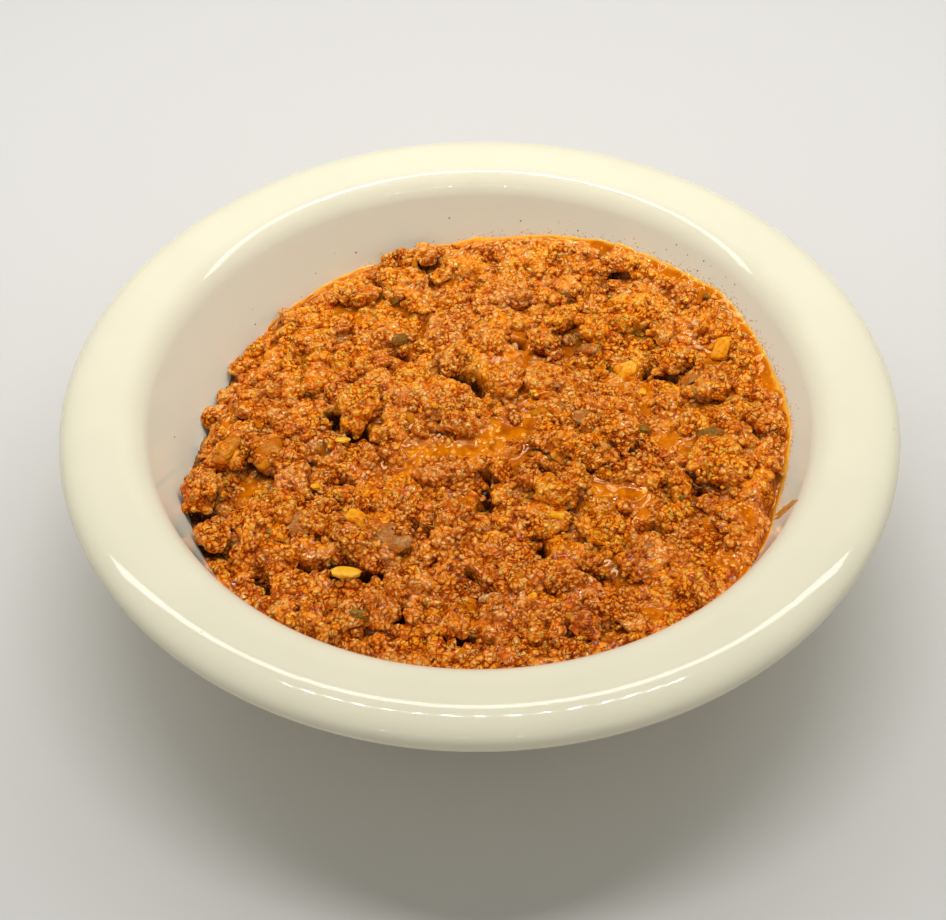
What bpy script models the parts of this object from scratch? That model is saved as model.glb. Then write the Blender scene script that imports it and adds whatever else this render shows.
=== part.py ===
"""Chili con carne in its bowl: a turned bowl of vitrified china, and the thick meat sauce that fills it.

Metres, +Z up. The origin is the centre of the foot ring's resting plane, and the diner sits on the -Y side.
Lengths in the constants below are in millimetres, and MM turns them to metres.
"""

import math

import bmesh
import bpy
from mathutils import Vector
from mathutils.geometry import delaunay_2d_cdt

MM = 0.001
TURNS = 64  # facets round the axis, on the bowl and on the chili's edge alike

# Bowl, as radius from the axis and height over the table.
RIM_RADIUS = 82.5
RIM_HEIGHT = 45.0
ROLL_REACH = 6.8  # rolled edge: an upright half ellipse, this far out from its middle
ROLL_HALF_HEIGHT = 3.6
RIM_FLAT = 3.9  # flat ring on top of the rim
LIP_RADIUS = 7.0  # rounding from the flat ring down into the wall
WALL_TILT = math.radians(69.6)  # the wall's rise from the horizontal
WALL_THICKNESS = 5.5
WELL_FLOOR = 9.5
WELL_RADIUS = 26.0  # rounding from the wall into the floor
COVE_RADIUS = 4.0  # hollow under the rolled edge
FOOT_RADIUS = 38.4
FOOT_WIDTH = 4.2
FOOT_EDGE = 0.8  # rounding of the foot ring's two edges
FOOT_RECESS = 3.6  # height of the base inside the foot ring

# Chili, measured down from the rim's top or in from the wall.
GAP = 0.3  # clearance between the chili and the china
EDGE_DEPTH = 15.5  # mean depth at which the chili meets the wall
EDGE_LEAN = 4.5  # the heap leans: this much higher on one side and lower on the other
LEAN_TOWARDS = math.radians(15)
HEAP_DEPTH = 14.8  # depth of the heap's top, between its lumps
HEAP_LEAN = 0.9
HIGHEST_LUMP = 9.6  # no lump stands closer to the rim's plane
SHOULDER = 6.0  # width over which the heap comes down to the wall
LUMP_PITCH = 9.0  # spacing of the lumps of minced meat
LUMP_RISE = 4.2
TOP_SPACING = 3.2  # spacing of the points of the chili's top
SIDE_RINGS = 8

# Lumps that stand out and hollows, each as x, y, radius and rise, seen from above.
MOUNDS = (
    (33.0, 51.5, 5.0, 2.6),
    (-46.0, 26.0, 6.0, 2.4),
    (-40.0, 34.0, 5.0, 1.8),
    (-50.0, 9.0, 6.5, 2.4),
    (-53.0, -13.0, 6.5, 2.8),
    (-9.0, 13.0, 10.0, 1.4),
    (-28.0, 22.0, 13.0, 1.2),
    (22.0, 6.0, 12.0, 1.0),
    (16.0, -36.0, 11.0, 1.6),
    (-22.0, -46.0, 10.0, 1.6),
    (-8.0, -3.0, 10.0, -2.6),
    (5.0, 21.0, 7.0, -2.0),
    (1.0, 13.0, 5.0, -2.4),
    (25.0, -12.0, 7.0, -2.2),
    (44.0, -5.0, 8.0, -2.0),
    (52.0, -21.0, 6.0, -2.2),
    (-27.0, -32.0, 7.0, -2.8),
    (9.0, -28.0, 4.5, -3.2),
    (-17.0, -42.0, 4.5, -2.8),
    (2.0, -14.0, 6.0, -2.4),
)


def sweep(centre, radii, start, end, steps):
    """Points (radius, height) on an upright elliptical arc, from start to end in degrees, both ends included."""
    angles = [math.radians(start + (end - start) * i / steps) for i in range(steps + 1)]
    return [(centre[0] + radii[0] * math.cos(a), centre[1] + radii[1] * math.sin(a)) for a in angles]


def inner_wall_radius(height):
    """Radius of the wall's straight inner face, which leaves the lip's rounding at a tangent."""
    lip = RIM_RADIUS - ROLL_REACH - RIM_FLAT
    lip_foot = (
        lip - LIP_RADIUS * math.sin(WALL_TILT),
        RIM_HEIGHT - LIP_RADIUS + LIP_RADIUS * math.cos(WALL_TILT),
    )
    return lip_foot[0] - (lip_foot[1] - height) / math.tan(WALL_TILT)


def well_centre():
    """Centre of the rounding that runs from the wall into the floor."""
    height = WELL_FLOOR + WELL_RADIUS
    touch = height - WELL_RADIUS * math.cos(WALL_TILT)
    return inner_wall_radius(touch) - WELL_RADIUS * math.sin(WALL_TILT), height


def bowl_profile():
    """The bowl's section from the middle of its floor, over the rim and down the outside to the foot."""
    tilt = math.degrees(WALL_TILT)
    roll_middle = RIM_RADIUS - ROLL_REACH
    well = well_centre()
    outer_well = WELL_RADIUS + WALL_THICKNESS
    profile = [(0.0, WELL_FLOOR)]
    profile += sweep(well, (WELL_RADIUS, WELL_RADIUS), -90, tilt - 90, 9)
    lip_centre = (roll_middle - RIM_FLAT, RIM_HEIGHT - LIP_RADIUS)
    profile += sweep(lip_centre, (LIP_RADIUS, LIP_RADIUS), 90 + tilt, 90, 5)
    roll_centre = (roll_middle, RIM_HEIGHT - ROLL_HALF_HEIGHT)
    profile += sweep(roll_centre, (ROLL_REACH, ROLL_HALF_HEIGHT), 90, -90, 10)
    cove_height = RIM_HEIGHT - 2 * ROLL_HALF_HEIGHT - COVE_RADIUS
    lean = WALL_THICKNESS * math.cos(WALL_TILT)
    outer_wall = inner_wall_radius(cove_height + lean) + WALL_THICKNESS * math.sin(WALL_TILT)
    cove_centre = (outer_wall + COVE_RADIUS / math.sin(WALL_TILT), cove_height)
    profile += sweep(cove_centre, (COVE_RADIUS, COVE_RADIUS), 90, 90 + tilt, 3)
    foot_top = -math.degrees(math.acos((FOOT_RADIUS + 1.2 - well[0]) / outer_well))
    profile += sweep(well, (outer_well, outer_well), tilt - 90, foot_top, 6)
    edge = (FOOT_EDGE, FOOT_EDGE)
    foot_inner = FOOT_RADIUS - FOOT_WIDTH
    profile.append((FOOT_RADIUS + 0.3, 3.2))
    profile += sweep((FOOT_RADIUS - FOOT_EDGE, FOOT_EDGE), edge, 0, -90, 2)
    profile += sweep((foot_inner + FOOT_EDGE, FOOT_EDGE), edge, -90, -180, 2)
    profile.append((foot_inner - 0.6, FOOT_RECESS))
    profile.append((0.0, FOOT_RECESS))
    return profile


def sauce_line(azimuth):
    """Depth under the rim's top at which the chili meets the wall."""
    return EDGE_DEPTH - EDGE_LEAN * math.cos(azimuth - LEAN_TOWARDS)


def chili_section(azimuth):
    """The chili's underside at this azimuth, from the floor's edge up to where it meets the wall."""
    radius = WELL_RADIUS - GAP
    well = well_centre()
    top = RIM_HEIGHT - sauce_line(azimuth)
    tilt_height = well[1] - radius * math.cos(WALL_TILT)
    arc_end = min(1.0, math.acos(min(1.0, max(-1.0, (well[1] - top) / radius))) / WALL_TILT)
    arc_length = radius * WALL_TILT * arc_end
    wall_length = max(0.0, top - tilt_height) / math.sin(WALL_TILT)
    points = []
    for ring in range(SIDE_RINGS + 1):
        along = (arc_length + wall_length) * ring / SIDE_RINGS
        turned = min(along, arc_length) / radius
        past = max(0.0, along - arc_length)
        points.append((
            well[0] + radius * math.sin(turned) + past * math.cos(WALL_TILT),
            well[1] - radius * math.cos(turned) + past * math.sin(WALL_TILT),
        ))
    return points


def scatter(column, row, salt):
    """A fixed value from 0 to 1 for a cell of the lumps' grid, the same on every run."""
    return math.sin(column * 12.9898 + row * 78.233 + salt * 37.719) * 43758.5453 % 1.0


def lump_relief(x, y):
    """Height of the minced meat's lumps at this place: the highest of the domes near it."""
    column = math.floor(x / LUMP_PITCH)
    row = math.floor(y / LUMP_PITCH)
    height = 0.0
    for i in range(column - 1, column + 2):
        for j in range(row - 1, row + 2):
            centre_x = (i + 0.2 + 0.6 * scatter(i, j, 1)) * LUMP_PITCH
            centre_y = (j + 0.2 + 0.6 * scatter(i, j, 2)) * LUMP_PITCH
            reach = LUMP_PITCH * (0.48 + 0.22 * scatter(i, j, 3))
            rise = LUMP_RISE * (0.45 + 0.55 * scatter(i, j, 4))
            nearness = 1 - ((x - centre_x) ** 2 + (y - centre_y) ** 2) / reach**2
            height = max(height, rise * math.sqrt(max(0.0, nearness)))
    return height


def chili_height(x, y):
    """Height of the chili's top over the table, in millimetres."""
    azimuth = math.atan2(y, x)
    edge_radius, edge_height = chili_section(azimuth)[-1]
    inward = min(1.0, max(0.0, (edge_radius - math.hypot(x, y)) / SHOULDER))
    shoulder = inward * inward * (3 - 2 * inward)
    heap = RIM_HEIGHT - HEAP_DEPTH + HEAP_LEAN * (x / RIM_RADIUS) + lump_relief(x, y)
    for centre_x, centre_y, reach, rise in MOUNDS:
        nearness = 1 - ((x - centre_x) ** 2 + (y - centre_y) ** 2) / reach**2
        heap += rise * max(0.0, nearness)
    heap = min(heap, RIM_HEIGHT - HIGHEST_LUMP)
    return edge_height + (heap - edge_height) * shoulder


def top_points(edge):
    """Points of the chili's top inside its edge, on a grid of equal triangles."""
    points = []
    reach = math.ceil(RIM_RADIUS / TOP_SPACING)
    for row in range(-reach, reach + 1):
        y = row * TOP_SPACING * math.sqrt(0.75)
        for column in range(-reach, reach + 1):
            x = (column + 0.5 * (row % 2)) * TOP_SPACING
            nearest = edge[round(math.atan2(y, x) / math.tau * TURNS) % TURNS]
            if math.hypot(x, y) < nearest[0] - 0.75 * TOP_SPACING:
                points.append((x, y))
    return points


def coloured(name, colour, roughness, coat):
    material = bpy.data.materials.new(name)
    material.use_nodes = True
    shader = material.node_tree.nodes["Principled BSDF"]
    shader.inputs["Base Color"].default_value = (*colour, 1)
    shader.inputs["Metallic"].default_value = 0
    shader.inputs["Roughness"].default_value = roughness
    shader.inputs["Coat Weight"].default_value = coat
    return material


def add_object(name, mesh, material):
    piece = bpy.data.objects.new(name, mesh)
    bpy.context.scene.collection.objects.link(piece)
    mesh.materials.append(material)
    return piece


def make_bowl():
    """The bowl, turned from its section by a Screw modifier."""
    mesh = bpy.data.meshes.new("bowl")
    section = [Vector((radius, 0, height)) * MM for radius, height in bowl_profile()]
    mesh.from_pydata(section, [(i, i + 1) for i in range(len(section) - 1)], [])
    bowl = add_object("bowl", mesh, coloured("glazed china", (0.80, 0.76, 0.61), 0.12, 0.5))
    turning = bowl.modifiers.new("turning", "SCREW")
    turning.axis = "Z"
    turning.steps = TURNS
    turning.render_steps = TURNS
    turning.use_merge_vertices = True
    turning.merge_threshold = 0.00001
    turning.use_smooth_shade = True
    return bowl


def make_chili():
    """The chili: its underside follows the well and wall, and its top is lumpy and leans to one side."""
    azimuths = [math.tau * turn / TURNS for turn in range(TURNS)]
    sections = [chili_section(azimuth) for azimuth in azimuths]
    edge = [section[-1] for section in sections]
    outline = [
        Vector((radius * math.cos(azimuth), radius * math.sin(azimuth)))
        for azimuth, (radius, _) in zip(azimuths, edge)
    ]
    loop = [(turn, (turn + 1) % TURNS) for turn in range(TURNS)]
    inside = [Vector(point) for point in top_points(edge)]
    flat, _, triangles, *_ = delaunay_2d_cdt(outline + inside, loop, [], 1, 1e-5)
    shape = bmesh.new()
    top = []
    for turn, (point, (_, height)) in enumerate(zip(outline, edge)):
        top.append(shape.verts.new(Vector((point.x, point.y, height)) * MM))
    for point in flat[TURNS:]:
        top.append(shape.verts.new(Vector((point.x, point.y, chili_height(point.x, point.y))) * MM))
    for triangle in triangles:
        shape.faces.new([top[corner] for corner in triangle])
    upper = top[:TURNS]
    for ring in range(SIDE_RINGS - 1, -1, -1):
        lower = []
        for azimuth, section in zip(azimuths, sections):
            radius, height = section[ring]
            place = Vector((radius * math.cos(azimuth), radius * math.sin(azimuth), height))
            lower.append(shape.verts.new(place * MM))
        for here, following in loop:
            shape.faces.new((upper[here], lower[here], lower[following], upper[following]))
        upper = lower
    shape.faces.new(list(reversed(upper)))
    bmesh.ops.triangulate(shape, faces=[face for face in shape.faces if len(face.verts) > 3])
    bmesh.ops.recalc_face_normals(shape, faces=shape.faces)
    mesh = bpy.data.meshes.new("chili")
    shape.to_mesh(mesh)
    shape.free()
    mesh.shade_smooth()
    return add_object("chili", mesh, coloured("meat sauce", (0.50, 0.145, 0.018), 0.35, 0.3))


def main():
    for old in list(bpy.data.objects):
        bpy.data.objects.remove(old)
    make_bowl()
    make_chili()


main()
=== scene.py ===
import functools
import itertools
import math

import bpy
import numpy as np
from mathutils import Matrix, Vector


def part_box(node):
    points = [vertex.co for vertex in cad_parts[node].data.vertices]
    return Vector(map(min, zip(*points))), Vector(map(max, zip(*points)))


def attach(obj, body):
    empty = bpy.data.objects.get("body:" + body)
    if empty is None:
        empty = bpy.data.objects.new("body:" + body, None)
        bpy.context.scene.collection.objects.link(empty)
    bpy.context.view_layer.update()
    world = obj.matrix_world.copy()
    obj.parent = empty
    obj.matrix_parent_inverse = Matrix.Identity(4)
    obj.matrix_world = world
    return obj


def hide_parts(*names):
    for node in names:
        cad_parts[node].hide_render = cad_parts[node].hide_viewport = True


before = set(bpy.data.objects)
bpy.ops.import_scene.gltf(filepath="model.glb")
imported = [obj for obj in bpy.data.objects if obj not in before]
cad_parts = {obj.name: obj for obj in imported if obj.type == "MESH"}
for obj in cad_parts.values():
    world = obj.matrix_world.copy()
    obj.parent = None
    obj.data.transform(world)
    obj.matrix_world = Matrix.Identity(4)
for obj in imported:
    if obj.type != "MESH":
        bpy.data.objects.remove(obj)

bl_info = {
    "name": "Chili con carne in a china bowl",
    "version": (1, 0, 0),
    "blender": (4, 5, 0),
    "location": "View3D > Sidebar > Chili",
    "description": "Builds a bowl of chili con carne: china, crumbled meat, sauce, oil and vegetables",
    "category": "Add Mesh",
}

MM = 0.001
RIM_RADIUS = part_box("bowl")[1].x / MM
RIM_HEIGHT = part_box("bowl")[1].z / MM
MEAT_PIECES = ("meat_bed", "meat_lumps", "meat_chunks", "meat_crumbles", "meat_crumbs", "meat_grains")


# ---------------------------------------------------------------- shapes in millimetres


def sweep(centre, radii, start, end, steps):
    """Points (radius, height) on an upright elliptical arc, from start to end in degrees."""
    angles = np.radians(np.linspace(start, end, steps + 1))
    return list(zip(centre[0] + radii[0] * np.cos(angles), centre[1] + radii[1] * np.sin(angles)))


def wall_radius(height, bowl):
    """Radius of the bowl's inner face at this height, on the straight wall or the rounding under it."""
    height = np.asarray(height, float)
    tilt = bowl.wall_tilt
    lip = RIM_RADIUS - (bowl.roll_reach + bowl.rim_flat + bowl.lip_radius * math.sin(tilt)) / MM
    lip_height = RIM_HEIGHT - bowl.lip_radius * (1 - math.cos(tilt)) / MM
    straight = lip - (lip_height - height) / math.tan(tilt)
    radius = bowl.well_radius / MM
    middle = bowl.well_floor / MM + radius
    touch = middle - radius * math.cos(tilt)
    foot = lip - (lip_height - touch) / math.tan(tilt) - radius * math.sin(tilt)
    below = np.clip(middle - height, 0, radius)
    rounded = foot + np.sqrt(radius**2 - below**2)
    return np.where(height > touch, straight, rounded)


def hash_unit(cells, salt):
    """A fixed value from 0 to 1 for each whole-numbered cell. Each salt gives other values."""
    c = cells.astype(np.int64)
    h = (c[..., 0] * 374761393 + c[..., 1] * 668265263 + c[..., 2] * 1440662683 + salt * 97651) & 0xFFFFFFFF
    for shift in (13, 16):
        h = ((h ^ (h >> shift)) * 1274126177) & 0xFFFFFFFF
    return (h ^ (h >> 15)) / 2.0**32


def soft_noise(points, size, salt):
    """Smooth noise from -1 to 1 with bumps about this far apart."""
    scaled = points / size
    cells = np.floor(scaled)
    part = scaled - cells
    part = part * part * (3 - 2 * part)
    total = np.zeros(len(points))
    for corner in itertools.product((0, 1), repeat=3):
        weight = np.prod(np.where(corner, part, 1 - part), axis=-1)
        total += weight * hash_unit(cells + corner, salt)
    return 2 * total - 1


def warped(points, size, reach, salt):
    """The points moved about by smooth noise, so that what is laid on them loses its roundness."""
    moves = [soft_noise(points, size, salt + axis) for axis in range(3)]
    return points + reach * np.stack(moves, axis=-1)


def grains(points, size, salt, radii=(0.66, 0.96)):
    """Rounded grains about this far apart: height over the surface, 0 to 1, and each one's own value."""
    scaled = points / size
    cells = np.floor(scaled)
    height = np.zeros(len(points))
    own = np.zeros(len(points))
    for step in itertools.product((-1, 0, 1), repeat=3):
        cell = cells + step
        jitter = np.stack([0.15 + 0.7 * hash_unit(cell, salt + axis) for axis in range(3)], axis=-1)
        radius = radii[0] + (radii[1] - radii[0]) * hash_unit(cell, salt + 3)
        distance = np.linalg.norm(cell + jitter - scaled, axis=-1)
        rise = np.sqrt(np.clip(1 - (distance / radius) ** 2, 0, None)) * radius / radii[1]
        higher = rise > height
        height = np.where(higher, rise, height)
        own = np.where(higher, hash_unit(cell, salt + 4), own)
    return height, own


def disc_grid(rings):
    """Points (share of the radius, angle) and triangles of a disc made of even triangles, ring by ring."""
    shares = [np.zeros(1)]
    angles = [np.zeros(1)]
    faces = []
    start = 1
    inner_start = 0
    for ring in range(1, rings + 1):
        shares.append(np.full(6 * ring, ring / rings))
        angles.append(np.arange(6 * ring) * math.tau / (6 * ring))
        sector, place = np.divmod(np.arange(6 * ring), ring)
        inner = max(1, 6 * (ring - 1))
        here = start + np.arange(6 * ring)
        following = start + (np.arange(6 * ring) + 1) % (6 * ring)
        behind = inner_start + (sector * (ring - 1) + place) % inner
        faces.append(np.stack([here, following, behind], axis=-1))
        between = place < ring - 1
        ahead = inner_start + (sector * (ring - 1) + place + 1) % inner
        faces.append(np.stack([behind, following, ahead], axis=-1)[between])
        inner_start = start
        start += 6 * ring
    return np.concatenate(shares), np.concatenate(angles), np.concatenate(faces)


def ball(steps, floor):
    """Unit ball from a cube's faces, cut flat and closed at this height: directions and triangles."""
    line = np.tan(np.linspace(-math.pi / 4, math.pi / 4, steps + 1))
    u, v = np.meshgrid(line, line, indexing="ij")
    sheets = []
    for axis in range(3):
        for side in (-1, 1):
            parts = [None] * 3
            parts[axis] = np.full(u.shape, float(side))
            parts[(axis + 1) % 3] = u * side
            parts[(axis + 2) % 3] = v
            sheets.append(np.stack(parts, axis=-1).reshape(-1, 3))
    points = np.concatenate(sheets)
    points /= np.linalg.norm(points, axis=-1, keepdims=True)
    width = steps + 1
    corner = (np.arange(steps)[:, None] * width + np.arange(steps)).ravel()
    quads = np.stack([corner, corner + width, corner + width + 1, corner + 1], axis=-1)
    quads = (quads[None] + np.arange(6)[:, None, None] * width * width).reshape(-1, 4)
    kept, index = np.unique(np.round(points, 6), axis=0, return_inverse=True)
    quads = index.reshape(-1)[quads]
    quads = quads[kept[quads][..., 2].max(axis=1) > floor]
    faces = np.concatenate([quads[:, [0, 1, 2]], quads[:, [0, 2, 3]]])
    edges = np.concatenate([faces[:, [0, 1]], faces[:, [1, 2]], faces[:, [2, 0]]])
    back = {tuple(edge) for edge in edges.tolist()}
    rim = np.array([edge for edge in edges.tolist() if (edge[1], edge[0]) not in back])
    used, index = np.unique(faces, return_inverse=True)
    renumber = np.full(len(kept), -1)
    renumber[used] = np.arange(len(used))
    faces = index.reshape(-1, 3)
    directions = kept[used]
    if len(rim):
        middle = np.array([[0.0, 0.0, directions[:, 2].min()]])
        cap = np.stack([renumber[rim[:, 1]], renumber[rim[:, 0]], np.full(len(rim), len(used))], axis=-1)
        directions = np.concatenate([directions, middle])
        faces = np.concatenate([faces, cap])
    return directions, faces


def strewn(directions, faces, count):
    """This many copies of a form: each point's owner, its direction, and the triangles of all."""
    size = len(directions)
    owner = np.repeat(np.arange(count), size)
    ways = np.broadcast_to(directions, (count, size, 3)).reshape(-1, 3)
    triangles = (faces[None] + (np.arange(count) * size)[:, None, None]).reshape(-1, 3)
    return owner, ways, triangles


def spun(points, turn):
    """The points, turned about the upright axis."""
    cos, sin = np.cos(turn), np.sin(turn)
    x, y = points[:, 0], points[:, 1]
    return np.stack([x * cos - y * sin, x * sin + y * cos, points[:, 2]], axis=-1)


# ---------------------------------------------------------------- the heap's form

# Mounds and hollows of the meat, each as x, y, radius and rise in millimetres.
MOUNDS = (
    (33, 52.5, 5, 2.4), (-46, 26, 6, 1.8), (-40, 34, 5, 1.6), (-50, 9, 6.5, 2),
    (-54, -13, 6.5, 2.2), (-9, 13, 10, 1.3), (-28, 20, 14, 1.1), (22, 6, 12, 0.8),
    (16, -37, 11, 1.3), (-23, -44, 10, 1.3), (-4, -28, 10, 1), (22, 36, 13, 0.8),
)

# Pools where the sauce stands smooth, as x, y, radius and depth.
POOLS = (
    (-13, -2.5, 4.4, 2.6), (-7, -2, 4, 2.4), (-1, -0.5, 4, 2.4), (4, 2.5, 4.6, 2.6),
    (8.5, 3.8, 3.4, 2.4), (5, 21, 4, 2.6), (8, 27, 2.6, 2.2), (25, -12.5, 3, 2.4),
    (30, -14.5, 2.6, 2.2), (43, -4, 3.2, 2.4), (37.5, -1.5, 2.6, 2.2), (52, -22, 2.8, 2.2),
    (47, -33, 2.2, 2), (32, -45, 2.2, 2),
)

# How far a pool's patch of sauce goes beyond its radius, and the spacing of its mesh.
POOL_REACH = 1.5
POOL_STEP = 0.24

# Radius at which noise is read for each direction round the wall.
FILLING_RADIUS = 60

# Where the sauce's edge stands higher or lower on the wall: direction and spread in degrees, and the rise.
WALL_RISES = (
    (55, 30, 2.3), (-18, 12, -4), (168, 20, -3), (205, 16, 2.5), (32, 9, 1.3),
)

# Width of the bare ring of oil beside the wall, each as its direction, its spread in degrees and the width.
OIL_RINGS = (
    (6, 24, 3), (48, 16, 1.5), (82, 18, 1.3), (127, 13, 0.9), (236, 30, 0.5), (310, 30, 0.8),
)

# Lumps that lie against the wall or stand out of the rest, as x, y, radius and depth under the rim.
EDGE_LUMPS = (
    (-40.8, 39.5, 3, 17.4), (-47.2, 31, 3.3, 18.8), (-49.8, 26, 3.4, 19.6), (-51, 19.6, 3.4, 20.6),
    (-54.2, 12.8, 3.6, 20.8), (-53.4, 3.4, 4, 18.8), (-55.6, -5.6, 3.3, 18.6), (-55.4, -13, 4.3, 15.6),
    (-52, -24, 3.4, 16.4), (-17, 54.5, 3.2, 13.6), (-11, 56, 2.7, 13.4), (31, 50, 3.6, 11),
    (28.6, -2.4, 3, 11.6), (24.8, -7.9, 2.9, 12.2),
)

# Dark cracks between lumps, each a path of x and y with its width and depth.
CRACKS = (
    (((-34, -30), (-29, -31.5), (-24, -33), (-20, -34)), 2.4, 4.6),
    (((-19, -41), (-15, -43.5)), 2.6, 4.6), (((7, -27), (11.5, -28.5)), 2.3, 5),
    (((1, -17.5), (1.5, -14), (0, -11), (3, -8.5)), 2, 4),
    (((-31, 9.5), (-28, 7), (-25, 5), (-22.5, 3)), 1.9, 3.8),
    (((-6, 20), (-3, 18.5), (0, 17), (1.5, 13), (4.5, 9.5)), 2, 4.4),
    (((-55, -16.5), (-53.5, -20.5)), 2.6, 3.8), (((-30, -9.5), (-26.5, -8.5)), 1.9, 3.6),
    (((35.5, 18.5), (40, 16)), 1.7, 3.2), (((26.5, 21.5), (31, 17.5)), 1.5, 2.8),
    (((-50, 9.5), (-45.5, 7)), 1.7, 3.2), (((31.5, -23.5), (36.5, -26)), 1.7, 3.2),
    (((-6.5, -48.5), (0.5, -50)), 1.9, 3.4), (((10.5, -6.5), (14.5, -9)), 1.5, 2.8),
    (((5.5, 31.5), (9.5, 28.5)), 1.5, 2.8), (((-17.5, 27.5), (-14.5, 25)), 1.4, 2.6),
    (((-44, -30), (-40, -36)), 1.8, 3.2), (((-13, -20), (-9, -24.5)), 1.8, 3.2),
    (((18, -33), (23.5, -36)), 1.8, 3.4), (((-37, 15), (-33, 17)), 1.4, 2.6),
    (((16, 44), (21, 42)), 1.4, 2.6), (((-2, -34), (1.5, -39)), 1.8, 3.4),
    (((41, -13), (44.5, -16.5)), 1.5, 2.8),
)


def path_distance(x, y, path):
    """Distance from each place to a path of straight lines."""
    nearest = np.full(np.shape(x), np.inf)
    for (ax, ay), (bx, by) in zip(path, path[1:]):
        share = ((x - ax) * (bx - ax) + (y - ay) * (by - ay)) / ((bx - ax) ** 2 + (by - ay) ** 2)
        share = np.clip(share, 0, 1)
        nearest = np.minimum(nearest, np.hypot(x - ax - share * (bx - ax), y - ay - share * (by - ay)))
    return nearest


def crack_depth(x, y):
    """Depth of the cracks, with ragged sides."""
    moved = warped(warped(level_points(x, y), 2.6, 1.2, 77), 1.0, 0.5, 177)
    total = np.zeros_like(x)
    for path, width, depth in CRACKS:
        near = path_distance(moved[..., 0], moved[..., 1], path)
        total = np.maximum(total, 1.2 * depth * smooth(1.4 * (1 - near / width)))
    return total


def bumps(x, y, places):
    """Sum of rounded rises at the listed places."""
    total = np.zeros_like(x)
    for centre_x, centre_y, reach, rise in places:
        nearness = 1 - ((x - centre_x) ** 2 + (y - centre_y) ** 2) / reach**2
        total += rise * np.clip(nearness, 0, None)
    return total


def smooth(share):
    """The share eased at both ends, from 0 to 1."""
    share = np.clip(share, 0, 1)
    return share * share * (3 - 2 * share)


# Chopped vegetables and seeds that lie on top, each as x, y, length, width, thickness and turn in degrees.
PEPPER_BITS = (
    (30.9, 18.8, 4.9, 3.6, 1.6, 12), (50.6, 23.2, 3.8, 4.4, 1.7, -20), (-24.4, -19.1, 3.2, 4.4, 1.6, 60),
    (15.1, -22, 1.9, 3.8, 1.3, 80), (33.8, 12.3, 1.9, 1.8, 1.2, 0), (-32.5, -11, 2.2, 1.6, 1.1, 30),
    (9.5, -41, 2.2, 1.6, 1.1, 20),
)
SEED_BITS = (
    (-25.4, -34.9, 6.2, 3.4, 1.8, 3), (-27.9, 1.7, 3.4, 1.7, 0.9, 5),
)
ONION_BITS = (
    (-16.7, -25, 8, 4.4, 1, -48), (-35.9, -21.6, 8, 4.6, 1, 68), (15, 15.2, 4, 3.2, 1, 10),
    (21.2, 5.2, 4.4, 5, 1, 40), (22.4, 24, 4.8, 2.4, 1, -28), (44, 14, 4, 2.2, 0.9, 15),
)
CLEAR_BITS = (
    (-42.3, -3, 6.6, 5.4, 1.4, 32), (-50.8, -2.2, 4, 7, 1.1, -28), (-46.3, 7, 3.6, 3.6, 1.4, 0),
    (12.1, 8, 5, 2.4, 1, 14),
)
OLIVE_BITS = (
    (46.2, -2.8, 4.6, 5, 1.6, 20), (33.1, 1.2, 3, 2.6, 1.2, 0), (-22.4, -46.6, 3.4, 2.4, 1.4, 10),
    (-16.7, 29.9, 3.6, 3, 1.2, 20), (49.6, 36.9, 4.2, 1.5, 0.7, -40),
)
PALE_BITS = (
    (46.2, 31.1, 2.6, 1.7, 0.9, 60), (46.3, 24.7, 2.4, 1, 0.8, 8), (32.2, 40.2, 2, 1.5, 0.8, 20),
    (0.8, -40.5, 2.2, 1.9, 1, 70), (8, 29.5, 1.8, 1.2, 0.8, 110),
)


def bell(turn, degrees, spread):
    """1 in this direction, falling away to 0 on both sides of it."""
    off = (np.degrees(turn) - degrees + 180) % 360 - 180
    return np.exp(-((off / spread) ** 2))


def level_points(x, y):
    """Points at these places on one level, on which noise can be read."""
    return np.stack([x, y, np.zeros_like(x)], axis=-1)


def round_the_wall(turn):
    """Places on a circle about as wide as the filling, on which noise can be read in these directions."""
    turn = np.asarray(turn, float)
    return level_points(FILLING_RADIUS * np.cos(turn), FILLING_RADIUS * np.sin(turn)).reshape(-1, 3)


def sauce_line(turn, heap):
    """Height at which the sauce meets the wall: the portion leans to one side, with rises and hollows."""
    turn = np.asarray(turn, float)
    drop = heap.edge_depth - heap.edge_lean * np.cos(turn - heap.lean_towards)
    rises = sum(rise * bell(turn, degrees, spread) for degrees, spread, rise in WALL_RISES)
    places = round_the_wall(turn)
    wobble = 0.3 * soft_noise(places, 6.0, 62) + 0.22 * soft_noise(places, 2.0, 63)
    return RIM_HEIGHT - drop / MM + rises + wobble.reshape(turn.shape)


def ring_width(turn):
    """Width of the bare ring of oil beside the wall, uneven where meat reaches into it."""
    turn = np.asarray(turn, float)
    widths = [width * bell(turn, degrees, spread) for degrees, spread, width in OIL_RINGS]
    places = round_the_wall(turn)
    uneven = 0.7 * soft_noise(places, 7.0, 60) + 0.6 * soft_noise(places, 2.2, 61)
    return np.maximum.reduce(widths) * np.clip(1 + uneven.reshape(turn.shape), 0.1, 2.0)


def leaning(x, y, heap):
    """How far towards the higher side a place lies, from -1 to 1."""
    towards = heap.lean_towards
    return (x * math.cos(towards) + y * math.sin(towards)) / (heap.spread / MM)


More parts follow.
